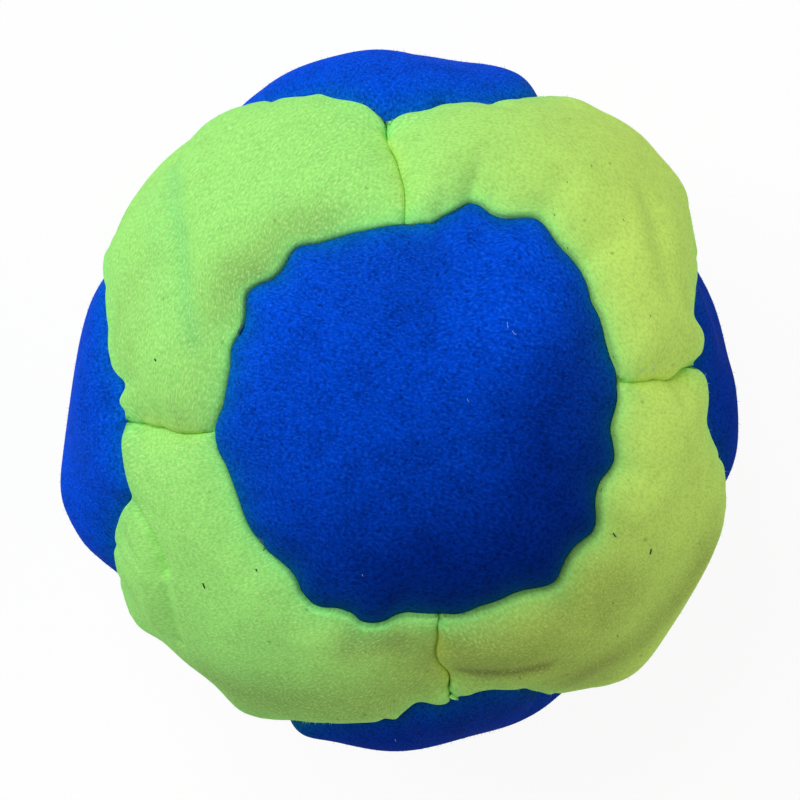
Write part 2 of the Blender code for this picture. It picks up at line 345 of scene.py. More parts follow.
def drawRoundSeams():
    top = roundSeams["top"]
    turns, _ = roundPlace("top", directionsAt([pixel for pixel, _ in topSeamSides]))
    top["side"] = loopThrough(turns, [side for _, side in topSeamSides])
    depth, more = seams["traceDepth"], seams["traceDepthSide"]
    over, _ = traceRound("top", topSeamTrace, -depth - more)
    under, _ = traceRound("top", topSeamTrace, -depth + more)
    share = (top["side"] + 1) / 2
    top["shift"] = over * share + under * (1 - share)
    top["stitches"] = roundPlace("top", directionsAt(topSeamStitches))[0] * loopRadius
    for place, pixels in sideSeamTraces.items():
        seam = roundSeams[place]
        known = [pixels.index(pixel) for pixel, _ in sideLifts[place]]
        lifts = np.interp(np.arange(len(pixels)), known, [lift for _, lift in sideLifts[place]])
        traced, within = traceRound(place, pixels, lifts)
        traced = np.maximum(traced, -seams["mostHidden"])
        seam["shift"] = seam["shift"] * (1 - within) + traced * within
        seam["side"] = seam["side"] * (1 - within) + seams["sidesOver"] * within
    spacing = loopLength / len(loopTurns)
    for seam in roundSeams.values():
        seam["shift"] = softened(seam["shift"], spacing, seams["rounding"], True)
        seam["side"] = softened(seam["side"], spacing, 1.0, True)
        seam["pull"] = pullOf(loopTurns * loopRadius, seam["stitches"], loopLength)


def shortPairs():
    places = list(axes)
    for i, first in enumerate(places):
        for second in places[i + 1 :]:
            if axes[first] @ axes[second] == 0:
                yield first, second


def drawShortSeams():
    drawn = {}
    spacing = linePlaces[1] - linePlaces[0]
    for pair in shortPairs():
        knots = np.arange(-lineReach, lineReach + 0.1, seams["knots"])
        count, jitter = len(knots), seams["knotJitter"]
        knots = knots + chance.uniform(-jitter, jitter, count)
        shift = np.interp(linePlaces, knots, chance.normal(0, seams["stray"], count))
        side = np.interp(linePlaces, knots, chance.uniform(-1, 1, count))
        stitches = stitchPlaces(2 * lineReach) - lineReach
        pixels = shortSeamTraces.get(pair)
        if pixels:
            along, beside = shortPlace(pair, directionsAt(pixels, seams["shortLift"]))
            order = np.argsort(along)
            shift = np.interp(linePlaces, along[order], beside[order])
        drawn[pair] = {
            "shift": softened(shift, spacing, seams["rounding"] * 2, False),
            "side": softened(side, spacing, 1.0, False),
            "pull": pullOf(linePlaces, stitches),
        }
    return drawn


drawRoundSeams()
shortSeams = drawShortSeams()
print("seams drawn:", len(roundSeams), "round and", len(shortSeams), "short")


def roundValue(place, key, turn):
    return np.interp(turn, loopTurns, roundSeams[place][key], period=2 * math.pi)


def shortValue(pair, key, along):
    return np.interp(along, linePlaces, shortSeams[pair][key])


def awayFrom(axis, d):
    # Unit ways over the bag's surface that lead away from this axis
    beside = d * (d @ axis)[:, None] - axis
    return beside / np.maximum(np.linalg.norm(beside, axis=1), 1e-6)[:, None]


def strayed(d):
    # Directions moved with the seams near them, as hand sewing leaves them
    moved = np.zeros_like(d)
    for place in axes:
        turn, beside = roundPlace(place, d)
        reach = np.where(beside > 0, seams["fadeOut"], seams["fadeIn"])
        felt = np.clip(1 - (beside / reach) ** 2, 0, 1) ** 2
        shift = roundValue(place, "shift", turn) * felt
        moved += awayFrom(axes[place], d) * shift[:, None]
    half = bag["shortSeam"] / 2
    for pair in shortSeams:
        along, beside = shortPlace(pair, d)
        felt = np.clip(1 - (beside / seams["fadeShort"]) ** 2, 0, 1) ** 2
        felt *= np.exp(-(np.maximum(np.abs(along) - half, 0) / 2.5) ** 2)
        felt[d @ (axes[pair[0]] + axes[pair[1]]) < 0.3] = 0
        normal = np.cross(axes[pair[0]], axes[pair[1]])
        shift = shortValue(pair, "shift", along) * felt
        moved -= awayFrom(normal, d) * shift[:, None]
    return unit(d + moved / seamRadius)


def cadStrayed(d):
    # The same for the seams as the CAD draws them, where the threads lie
    waves = np.sin(bag["cadWaves"] * d[:, [1, 2, 0]] + np.array(bag["cadPhases"]))
    return unit(d + bag["cadStray"] / seamRadius * waves)


# Panels

panel = {
    "coarse": 24,               # squares across a panel's middle, before they are cut in four
    "rims": (0.62, 0.7, 0.77, 0.83, 0.885, 0.93, 0.968, 1.0),  # rings round it, shares of its reach
    "cuts": 3,
    "lip": 0.5,                 # outer radius of the fold at a seam where both sides are level
    "lipSide": 0.55,            # how much tighter it is on the side that lies over
    "lipRange": (0.32, 1.1),
    "middleSide": 0.6,          # far from its seams a panel no longer feels their sides
    "sideReach": 6.0,
    "lipTurn": 70,              # degrees that the fold turns through
    "lipTurnSide": 12,          # more where it lies over
    "lipTurnRange": (50, 86),
    "lift": 0.1,                # lip's top above the seams
    "liftSide": 0.25,           # more where it lies over
    "lean": 0.4,                # how far it then hangs over the other one
    "crown": 1.4,
    "crownReach": 3.4,          # how soon a panel's middle is reached
    "crownPower": 1.3,
    "pull": 0.3,                # most that a stitch pulls a lip down
    "pullReach": 1.5,
    "corner": 4,                # how sharply a lime panel's corners are cut
    "sheet": 0.6,
    "edgeDepth": 3.4,           # how far the sheet's raw edge lies under the seams
    "edgeRings": 4,             # rings of squares down to it
    "gap": 0.02,
}
crowns = {
    "corner_panel_top_back_right": 1.9,
    "corner_panel_top_front_right": 1.8,
    "corner_panel_top_back_left": 0.85,
    "corner_panel_top_front_left": 0.9,
    "round_panel_front": 1.1,
    "round_panel_back": 1.6,
    "round_panel_left": 0.9,
    "round_panel_right": 0.5,
}


def grown(bm, ring):
    # One more ring of squares beyond these edges: its outer points and edges
    made = bmesh.ops.extrude_edge_only(bm, edges=ring)["geom"]
    points = [g for g in made if isinstance(g, bmesh.types.BMVert)]
    return points, [g for g in made if isinstance(g, bmesh.types.BMEdge)]


def flatPanel():
    # A disc of squares: a grid pressed round, then rings of squares grown from its edge
    bm = bmesh.new()
    bmesh.ops.create_grid(bm, x_segments=panel["coarse"], y_segments=panel["coarse"], size=1)
    for v in bm.verts:
        x, y = v.co.x, v.co.y
        reach = max(abs(x), abs(y))
        if not reach:
            continue
        if abs(x) >= abs(y):
            turn = (0 if x > 0 else math.pi) + math.pi / 4 * y / x
        else:
            turn = (quarterTurn if y > 0 else -quarterTurn) - math.pi / 4 * x / y
        v.co = Vector((math.cos(turn), math.sin(turn), 0)) * reach * panel["rims"][0]
    ring = [e for e in bm.edges if e.is_boundary]
    for before, after in zip(panel["rims"], panel["rims"][1:]):
        points, ring = grown(bm, ring)
        for v in points:
            v.co *= after / before
    return bm


def polarOf(flat):
    # Share of the way out, and turn, of each point of the flat disc with its many straight sides
    sides = 4 * panel["coarse"]
    turn = np.arctan2(flat[:, 1], flat[:, 0]) % (2 * math.pi)
    step = 2 * math.pi / sides
    flatness = math.cos(step / 2) / np.cos(turn % step - step / 2)
    return np.minimum(np.hypot(flat[:, 0], flat[:, 1]) / flatness, 1.0), turn


def onRoundSeam(axis, beside):
    return math.cos(roundAngle) * axis + math.sin(roundAngle) * beside


def roundEdge(place, turn):
    axis, first, second = turnFrame(place)
    return onRoundSeam(axis, np.cos(turn)[:, None] * first + np.sin(turn)[:, None] * second)


def limeEdge(corner, turn):
    # Points round a lime panel's edge: three long arcs and three short seams by turns
    a, b, c = corner
    count = 4 * panel["coarse"]
    arc = count // 3 - 10
    short = count // 3 - arc
    place = turn / (2 * math.pi) * count
    found = np.zeros((len(turn), 3))
    for k, (here, following, last) in enumerate(((a, b, c), (b, c, a), (c, a, b))):
        at = place - k * (arc + short)
        on = (at >= 0) & (at < short)
        ways = onRoundSeam(here, following), onRoundSeam(following, here)
        share = (at[on] / short)[:, None]
        found[on] = unit(ways[0] * (1 - share) + ways[1] * share)
        on = (at >= short) & (at < arc + short)
        angle = ((at[on] - short) / arc * quarterTurn)[:, None]
        found[on] = onRoundSeam(following, np.cos(angle) * here + np.sin(angle) * last)
    return found


def borderOf(d, place, corner):
    # For each direction in a panel: distance from its seam, the way in, and the seam's values
    if place:
        turn, beside = roundPlace(place, d)
        side, pull = -roundValue(place, "side", turn), roundValue(place, "pull", turn)
        return np.maximum(-beside, 0), -awayFrom(axes[place], d), side, pull
    reaches, ways, sides, pulls = [], [], [], []
    for name in corner:
        turn, beside = roundPlace(name, d)
        reaches.append(beside)
        ways.append(awayFrom(axes[name], d))
        sides.append(roundValue(name, "side", turn))
        pulls.append(roundValue(name, "pull", turn))
    for pair in shortSeams:
        if pair[0] not in corner or pair[1] not in corner:
            continue
        third = next(name for name in corner if name not in pair)
        along, _ = shortPlace(pair, d)
        facing = np.cross(axes[pair[0]], axes[pair[1]]) @ axes[third]
        reaches.append(np.arcsin(np.clip(d @ axes[third], -1, 1)) * seamRadius)
        ways.append(-awayFrom(axes[third], d))
        sides.append(shortValue(pair, "side", along) * facing)
        pulls.append(shortValue(pair, "pull", along))
    reaches = np.maximum(np.array(reaches), 1e-4)
    power = panel["corner"]
    shares = reaches ** -power
    total = shares.sum(axis=0)
    near = total ** (-1 / power)
    shares = shares / total
    slopes = (near / reaches) ** (power + 1)
    way = (slopes[:, :, None] * np.array(ways)).sum(axis=0)
    near = np.where(near < 2e-4, 0, near)
    return near, way, (shares * np.array(sides)).sum(axis=0), (shares * np.array(pulls)).sum(axis=0)


# Folds and dints that the photograph shows, by panel: its pixels along each, width and height.
# A line outside the bag's outline shapes the outline beside it.
folds = {
    "corner_panel_top_back_left": [
        ([(176, 150), (178, 190), (181, 235), (184, 285), (192, 340)], 0.8, -0.45),
        ([(157, 200), (158, 250), (165, 310)], 1.2, -0.12),
        ([(206, 130), (202, 200), (206, 290)], 1.6, 0.15),
        ([(160, 130), (112, 190)], 5.0, -0.7),
        ([(95, 225), (84, 265)], 4.5, -0.75),
        ([(222, 90), (275, 96)], 3.0, 1.0),
    ],
    "corner_panel_top_back_right": [
        ([(650, 205), (657, 235), (672, 285)], 1.2, -0.45),
        ([(640, 215), (645, 250)], 1.5, 0.15),
        ([(705, 196), (716, 225)], 3.0, 1.6),
        ([(664, 127), (680, 142)], 2.0, 0.4),
        ([(560, 80), (602, 94)], 3.0, 0.6),
        ([(600, 106), (606, 118)], 1.2, -0.25),
        ([(425, 206), (450, 199), (466, 200)], 1.0, -0.35),
    ],
    "corner_panel_top_front_right": [
        ([(728, 480), (738, 540)], 3.5, 0.35),
        ([(598, 698), (625, 682)], 3.5, 1.4),
        ([(655, 665), (665, 650)], 2.5, -0.1),
        ([(462, 690), (500, 682), (548, 668)], 1.3, -0.25),
    ],
    "corner_panel_top_front_left": [
        ([(110, 588), (116, 606), (128, 628)], 2.2, 1.35),
        ([(124, 520), (143, 560), (152, 590), (158, 620)], 0.9, 0.4),
        ([(131, 506), (147, 530), (160, 556), (169, 585), (175, 620), (182, 640)], 0.5, -0.3),
        ([(131, 506), (147, 530), (160, 556), (165, 572)], 0.45, -0.45),
        ([(165, 650), (185, 668)], 2.5, -0.2),
        ([(250, 705), (290, 716), (375, 716)], 2.5, 0.6),
        ([(246, 712), (288, 726)], 2.0, 0.5),
        ([(355, 650), (395, 648)], 1.2, -0.25),
    ],
    "round_panel_top": [
        ([(420, 240), (455, 285)], 3.0, -0.3),
        ([(520, 250), (545, 300)], 4.0, 0.3),
    ],
    "round_panel_back": [
        ([(228, 92), (258, 76)], 5.0, -0.45),
        ([(460, 50), (495, 57)], 4.0, -0.7),
        ([(524, 72), (540, 84)], 3.0, 1.1),
    ],
    "round_panel_right": [
        ([(708, 235), (738, 310)], 7.0, -0.95),
        ([(735, 320), (750, 380)], 4.0, -0.3),
        ([(752, 390), (745, 450)], 4.0, 0.7),
    ],
    "round_panel_left": [
        ([(76, 255), (58, 345)], 7.0, -1.35),
        ([(46, 515), (52, 550)], 4.0, 1.2),
        ([(100, 585), (120, 600)], 5.0, -0.7),
    ],
    "round_panel_front": [
        ([(249, 722), (275, 740)], 3.0, 2.3),
        ([(300, 755), (370, 762)], 4.0, 0.35),
    ],
}
# Darker marks, the same way: painted shade on lips, in notches and towards the lower edge, with
# some dirt
shadeAndDirtMarks = {
    "corner_panel_top_front_right": [
        ([(466, 686), (500, 681), (545, 670)], 0.7, 0.4),
        ([(700, 560), (640, 640), (590, 675)], 3.0, 0.5),
        ([(480, 700), (590, 690)], 2.5, 0.35),
        ([(450, 650), (540, 640), (610, 595)], 3.8, 0.55),
        ([(455, 668), (500, 672), (600, 662)], 2.0, 0.22),
    ],
    "corner_panel_top_front_left": [
        ([(350, 652), (395, 645)], 1.3, 0.3),
        ([(240, 690), (300, 700), (430, 690)], 3.5, 0.45),
        ([(108, 440), (112, 480)], 2.5, 0.15),
        ([(375, 635), (440, 655)], 3.0, 0.4),
    ],
    "corner_panel_top_back_right": [([(430, 204), (466, 200)], 0.6, 0.25)],
    "corner_panel_top_back_left": [
        ([(225, 320), (205, 380), (190, 420)], 3.0, 0.2),
        ([(335, 236), (300, 244), (280, 268), (245, 285), (240, 325)], 0.8, 0.45),
        ([(320, 230), (290, 238), (265, 262), (240, 280)], 2.2, 0.5),
        ([(130, 300), (120, 400)], 3.0, 0.18),
    ],
    "round_panel_top": [
        ([(340, 275), (400, 275), (440, 260)], 4.0, 0.2),
        ([(250, 400), (262, 450)], 4.0, 0.12),
        ([(596, 350), (602, 440)], 3.0, 0.2),
    ],
    "round_panel_front": [([(470, 718), (540, 700)], 3.0, 0.3)],
    "round_panel_left": [([(88, 370), (82, 450)], 3.0, 0.15)],
    "round_panel_back": [([(290, 82), (350, 78)], 3.0, 0.12)],
}

ripple = {"waves": 26, "longest": 16.0, "shortest": 6.0, "height": 0.04}
rippleWays = unit(chance.normal(size=(ripple["waves"], 3)))
rippleLengths = chance.uniform(ripple["shortest"], ripple["longest"], ripple["waves"])
ripplePhases = chance.uniform(0, 2 * math.pi, ripple["waves"])


def nearLine(points, name, pixels, width):
    # From 1 on a line through these pixels to 0 away from it
    line = directionsAt(pixels, crowns.get(name, panel["crown"]))
    d = unit((points - bagMiddle) / bagRadii)
    apart = np.full(len(d), np.inf)
    for start, end in zip(line, line[1:]):
        run = end - start
        share = np.clip((d - start) @ run / (run @ run), 0, 1)
        apart = np.minimum(apart, np.linalg.norm(d - start - share[:, None] * run, axis=1))
    return np.exp(-((apart * seamRadius / width) ** 2))


def unevenness(points, name):
    # Heights of folds, dints and the fill's lumps under the suede
    heights = np.zeros(len(points))
    for way, length, phase in zip(rippleWays, rippleLengths, ripplePhases):
        heights += np.sin(points @ way * 2 * math.pi / length + phase) * ripple["height"]
    for pixels, width, height in folds.get(name, []):
        heights += height * nearLine(points, name, pixels, width)
    return heights


def surfacePoints(d, heights):
    way = unit(d / bagRadii)
    return bagMiddle + bagRadii * d + way * heights[:, None]


def puffedPanel(name, d, drop, place, corner):
    # Every point of a panel: its lip curls down into the seam, and its middle is pushed out
    crown = crowns.get(name, panel["crown"])
    near, way, side, pull = borderOf(d, place, corner)
    level = panel["middleSide"] * (1 if corner else -1)
    side = level + (side - level) * np.exp(-((near / panel["sideReach"]) ** 2))
    radius = np.clip(panel["lip"] * np.exp(-panel["lipSide"] * side), *panel["lipRange"])
    lastTurn = panel["lipTurn"] + panel["lipTurnSide"] * side
    lastTurn = np.radians(np.clip(lastTurn, *panel["lipTurnRange"]))
    turn = np.minimum(near / radius, lastTurn)
    beyond = np.maximum(near - radius * lastTurn, 0)
    lift = panel["lift"] + panel["liftSide"] * side
    rise = np.cos(lastTurn) * (1 - np.exp(-beyond))
    risen = 1 - np.exp(-((near / panel["crownReach"]) ** panel["crownPower"]))
    swell = (crown - lift - np.cos(lastTurn)) * risen
    height = lift + radius * (np.sin(turn) - 1) + rise + swell
    height -= panel["pull"] * pull * np.exp(-((near / panel["pullReach"]) ** 2))
    inward = (radius * (1 - np.cos(turn)) - radius * turn) * np.exp(-beyond / 4)
    upright = np.clip((height + 1.2) / 0.7, 0, 1)
    inward -= panel["lean"] * np.maximum(side, 0) * upright * np.exp(-beyond / 2.5)
    inward += panel["gap"]
    height = height * (1 - drop) - panel["edgeDepth"] * drop
    moved = strayed(d)
    down = np.clip((-height - 1.3) / 0.6, 0, 1)[:, None] * (drop > 0)[:, None]
    moved = unit(moved * (1 - down) + cadStrayed(d) * down)
    moved = unit(moved + (inward[:, None] * way) / seamRadius)
    points = surfacePoints(moved, height)
    points = surfacePoints(moved, height + unevenness(points, name) * (1 - np.exp(-near / 1.5)))
    return points, near


def directionsIn(flat, place, corner):
    # The flat disc's points as directions in a panel
    out, turn = polarOf(flat)
    if place:
        angle = (out * roundAngle)[:, None]
        beside = unit(roundEdge(place, turn) - math.cos(roundAngle) * axes[place])
        return np.cos(angle) * axes[place] + np.sin(angle) * beside
    ways = [axes[name] for name in corner]
    if np.cross(ways[0], ways[1]) @ ways[2] < 0:
        ways = [ways[0], ways[2], ways[1]]
    return unit(unit(sum(ways)) * (1 - out)[:, None] + limeEdge(ways, turn) * out[:, None])


# Cloth: each panel is held at its seams and the fill presses it out

cloth = {
    "scale": 20,                # the solver works on a bag this many times larger
    "frames": 20,
    "held": 1.0,                # mm beside the seams that don't move
    "slack": 0.02,              # share by which the suede is larger than its place
    "pressure": 9.0,
    "quality": 6,
    "bending": 0.5,
    "most": 0.45,               # cap on how far a point may move
    "smoothing": 24,            # rounds that even out its steps
}


def clothMoves(forms):
    # How far the fill moves each point of each coarse panel
    tried = {}
    flat = flatPanel()
    mesh = bpy.data.meshes.new("coarse")
    flat.to_mesh(mesh)
    flat.free()
    spots = np.array([v.co for v in mesh.vertices])
    for name, place, corner in forms:
        d = directionsIn(spots, place, corner)
        points, near = puffedPanel(name, d, np.zeros(len(d)), place, corner)
        copy = mesh.copy()
        copy.vertices.foreach_set("co", (points * mm * cloth["scale"]).ravel())
        copy.update()
        trial = addObject("trial_" + name, copy)
        group = trial.vertex_groups.new(name="held")
        group.add([int(i) for i in np.flatnonzero(near < cloth["held"])], 1.0, "REPLACE")
        solver = trial.modifiers.new("cloth", "CLOTH")
        solver.settings.quality = cloth["quality"]
        solver.settings.vertex_group_mass = "held"
        solver.settings.shrink_min = -cloth["slack"]
        solver.settings.use_pressure = True
        solver.settings.uniform_pressure_force = cloth["pressure"]
        solver.settings.effector_weights.gravity = 0
        solver.settings.bending_stiffness = cloth["bending"]
        solver.collision_settings.use_collision = False
        solver.point_cache.frame_end = cloth["frames"]
        tried[name] = (trial, points)
    for step in range(1, cloth["frames"] + 1):
        bpy.context.scene.frame_set(step)
    graph = bpy.context.evaluated_depsgraph_get()
    moves = {}
    for name, (trial, before) in tried.items():
        after = np.empty(len(before) * 3)
        trial.evaluated_get(graph).data.vertices.foreach_get("co", after)
        move = after.reshape(-1, 3) / (mm * cloth["scale"]) - before
        size = np.linalg.norm(move, axis=1)
        print(name, "cloth moved at most", round(float(size.max()), 3), "mm")
        moves[name] = move * (np.minimum(size, cloth["most"]) / np.maximum(size, 1e-6))[:, None]
        data = trial.data
        bpy.data.objects.remove(trial)
        bpy.data.meshes.remove(data)
    bpy.context.scene.frame_set(1)
    return moves


def evened(bm, values):
    # Values smoothed over neighbouring points
    ends = np.array([(e.verts[0].index, e.verts[1].index) for e in bm.edges])
    ends = np.concatenate([ends, ends[:, ::-1]])
    count = np.bincount(ends[:, 0])[:, None]
    for _ in range(cloth["smoothing"]):
        near = [np.bincount(ends[:, 0], weights=values[ends[:, 1], k]) for k in range(3)]
        values = (values + np.array(near).T / count) / 2
    return values


napSpan = 40.0      # mm of suede across the nap's map
# Painted shade, away from the key lamp: ways over the bag in which the suede turns more and more to
# its painted light colour (darker, and warmer on the lime), where that starts and ends in mm, and
# the most share of it
paintedLightWays = {
    "top": ((0.46, -0.89, 0), -13, 18, 1.0),
    "side": ((0.62, -0.78, 0), -20, 20, 0.75),
    "corner": ((0.95, -0.3, 0), -9, 15, 1.0),
}
# Patches with more of the painted shade, or less (less than 0), listed the same way
# as the folds are listed
paintedLightPatches = {
    "round_panel_top": [
        ([(503, 250), (500, 293)], 3.7, -0.27),
        ([(478, 360), (468, 450)], 2.5, -0.07),
        ([(416, 275), (395, 330), (340, 365), (300, 385)], 3.0, 0.13),
        ([(550, 375), (535, 450)], 2.5, 0.12),
        ([(385, 578), (425, 555)], 2.3, 0.1),
    ],
}
# Degrees that each panel's pile is turned, as cut from the sheet
napTurns = {
    "round_panel_top": 20,
    "corner_panel_top_back_left": 100,
    "corner_panel_top_back_right": 60,
    "corner_panel_top_front_left": 175,
    "corner_panel_top_front_right": 30,
}


def layNap(bm, d, middle, turned):
    # A flat map of the sheet that a panel was cut from, along and across its pile
    across = unit(np.cross(middle, axes["front"] + 0.01 * axes["top"]))
    upward = np.cross(across, middle)
    turn = math.radians(turned)
    reach = np.arccos(np.clip(d @ middle, -1, 1)) * seamRadius / napSpan
    way = np.arctan2(d @ upward, d @ across) - turn
    u, v = reach * np.cos(way) + 0.5, reach * np.sin(way) + 0.5
    layer = bm.loops.layers.uv.new("nap")
    for face in bm.faces:
        for loop in face.loops:
            i = loop.vert.index
            loop[layer].uv = (u[i], v[i])


def layValue(bm, name, values):
    layer = bm.verts.layers.float.new(name)
    for v, value in zip(bm.verts, values):
        v[layer] = value


# How far from what shows of a seam the painted light bounced from the other colour reaches, in mm
rims = {"round": 0.95, "corner": 0.7, "lip": 0.3, "short": 0.4, "underPaintedShade": 0.25}


def paintedLightAt(points, kind):
    # Share of the painted light colour there, from 0 to 1
    way, start, end, most = paintedLightWays[kind]
    share = np.clip((points @ np.array(way) - start) / (end - start), 0, 1)
    return share * share * (3 - 2 * share) * most


def markedAt(points, name, lines):
    shares = np.zeros(len(points))
    for pixels, width, share in lines:
        shares += share * nearLine(points, name, pixels, width)
    return shares


def creaseShadeAt(points, name):
    # Painted shade in the valleys of narrow folds, cooler and darker there
    lines = [(pixels, width, -height) for pixels, width, height in folds.get(name, [])]
    return markedAt(points, name, [line for line in lines if 0.6 < line[1] < 2.5 and line[2] > 0])


def rimsAt(d, near, place, corner):
    # How close what shows of the round seams is, and of the short ones, for the painted light
    # beside them
    if place:
        side = roundValue(place, "side", roundPlace(place, d)[0])
        shown = near - panel["lean"] * np.maximum(side, 0)
        return np.exp(-np.maximum(shown, 0) / rims["round"]), 0 * near
    beside = np.min([roundPlace(name, d)[1] for name in corner], axis=0)
    close = np.exp(-np.maximum(beside - rims["lip"], 0) / rims["corner"])
    return close, np.exp(-near / rims["short"]) * np.clip(beside / 1.5, 0, 1)


def buildPanel(name, place, corner, finish, slot, moves):
    bm = flatPanel()
    layer = bm.verts.layers.float_vector.new("move")
    if name in moves:
        for v, move in zip(bm.verts, moves[name]):
            v[layer] = move
    bmesh.ops.subdivide_edges(bm, edges=bm.edges, cuts=panel["cuts"], use_grid_fill=True)
    drops = bm.verts.layers.float.new("drop")
    ring = [e for e in bm.edges if e.is_boundary]
    for step in range(1, panel["edgeRings"] + 1):
        points, ring = grown(bm, ring)
        for v in points:
            v[drops] = step / panel["edgeRings"]
    bm.verts.index_update()
    flat = np.array([v.co for v in bm.verts])
    drop = np.array([v[drops] for v in bm.verts])
    move = evened(bm, np.array([v[layer] for v in bm.verts]))
    d = directionsIn(flat, place, corner)
    points, near = puffedPanel(name, d, drop, place, corner)
    points += move * (1 - np.exp(-near / cloth["held"]))[:, None]
    points[:, 2] = (points[:, 2] + np.sqrt(points[:, 2] ** 2 + 0.04)) / 2
    for v, point in zip(bm.verts, points * mm):
        v.co = point
    # Painted shade towards the lower right, warmer painted light on the lime, with patches of more
    # or less
    lean = paintedLightAt(points, "corner" if corner else "top" if place == "top" else "side")
    lean = np.clip(lean + markedAt(points, name, paintedLightPatches.get(name, [])), 0, 1)
    layValue(bm, "lean", lean)
    # Painted shade in the narrow folds' valleys
    layValue(bm, "creaseShade", creaseShadeAt(points, name) * (1 - lean) * 0.7)
    # Darker marks: painted shade with some dirt
    layValue(bm, "shadeAndDirt", markedAt(points, name, shadeAndDirtMarks.get(name, [])))
    # Painted light beside the seams, less where the painted shade lies
    roundSeamPaintedLight, shortSeamPaintedLight = rimsAt(d, near, place, corner)
    layValue(bm, "roundSeamPaintedLight", roundSeamPaintedLight * (1 - rims["underPaintedShade"] * lean))
    layValue(bm, "shortSeamPaintedLight", shortSeamPaintedLight)
    middle = axes[place] if place else unit(sum(axes[name] for name in corner))
    layNap(bm, d, middle, napTurns.get(name, 40.0 * len(bpy.data.meshes)))
    mesh = bpy.data.meshes.new(name)
    bm.to_mesh(mesh)
    bm.free()
    mesh.shade_smooth()
    mesh.materials.append(finish)
    piece = addObject(name + "_suede", mesh)
    sheet = piece.modifiers.new("sheet", "SOLIDIFY")
    sheet.thickness = panel["sheet"] * mm
    sheet.offset = -1
    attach(piece, "root")
    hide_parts(name)
    return piece


# Materials


def linear(code):
    # An sRGB hex colour as linear light
    parts = [int(code[i : i + 2], 16) / 255 for i in (1, 3, 5)]
    return [p / 12.92 if p <= 0.04045 else ((p + 0.055) / 1.055) ** 2.4 for p in parts] + [1]


def newMaterial(name):
    made = bpy.data.materials.new(name)
    made.use_nodes = True
    return made, made.node_tree, made.node_tree.nodes["Principled BSDF"]


def feed(tree, node, links):
    # A node's inputs, linked or set, by name or number
    for socket, value in links.items():
        if isinstance(value, bpy.types.NodeSocket):
            tree.links.new(value, node.inputs[socket])
        else:
            node.inputs[socket].default_value = value


def addNode(tree, kind, links, output=0, **settings):
    # A new node with its settings and links, of which one output is handed back
    node = tree.nodes.new("ShaderNode" + kind)
    for key, value in settings.items():
        setattr(node, key, value)
    feed(tree, node, links)
    return node.outputs[output]


# Microfibre suede, dyed and brushed. Its short pile stands up nearly straight, so the eye sees
# no shine: only fine tufts, dark pits between them and pale fibre ends. Broad darker zones
# towards the lower right, away from the key lamp, are painted shade.
blueLooks = {
    "colour": "#0052F0",
    "paintedLightColour": "#001E74",    # painted shade towards the lower right, away from the key lamp
    "darkShare": 0.62,          # how dark it is down between the tufts
    "paleColour": "#2A78F0",    # fibre ends that catch the light
    "tuft": (0.24, 0.16),       # length and width of a tuft in mm
    "tuftShare": 0.45,
    "paleShare": 0.35,
    "pit": 0.55,                # mm from pit to pit
    "pitShare": 0.6,
    "pitWidth": 0.15,
    "patch": 2.2,               # mm across patches that were brushed alike
    "patchShare": 0.3,
    "creaseShadeColour": "#003FB0",    # painted shade in folds
    "roundSeamPaintedLightColour": "#088088",    # painted bounce light beside a seam with the other colour
    # painted light in the creases of short seams
    "shortSeamPaintedLightColour": "#0A6A9A",
    # darker marks: painted shade with some dirt
    "shadeAndDirtColour": "#0A2A50",
    "roundSeamPaintedLightShare": 0.9,
    "shortSeamPaintedLightShare": 0.35,
    "bump": 0.012,
    "roughness": 0.95,
    "sheen": 0.0,
    "specular": 0.02,
}
limeLooks = {
    "colour": "#A3F07B",
    "paintedLightColour": "#C8EC6E",    # painted warmer light towards the lower right
    "darkShare": 0.8,
    "paleColour": "#E2FAB0",
    "tuft": (0.27, 0.13),
    "tuftShare": 0.32,
    "paleShare": 0.45,
    "pit": 2.4,
    "pitShare": 0.8,
    "pitWidth": 0.05,
    "patch": 1.6,
    "patchShare": 0.2,
    # painted shade in folds, painted light beside seams, darker marks of painted shade with some
    # dirt
    "creaseShadeColour": "#6FD488",
    "roundSeamPaintedLightColour": "#7AF88C",
    "shortSeamPaintedLightColour": "#E6EE4A",
    "shadeAndDirtColour": "#7F8840",
    "roundSeamPaintedLightShare": 0.6,
    "shortSeamPaintedLightShare": 0.5,
    "bump": 0.012,
    "roughness": 0.95,
    "sheen": 0.03,
    "specular": 0.06,
}


# Values of the noise between which each layer comes in
napRanges = {"patch": (0.45, 0.7), "tuft": (0.55, 0.3), "clump": (0.55, 0.35), "pale": (0.54, 0.76)}


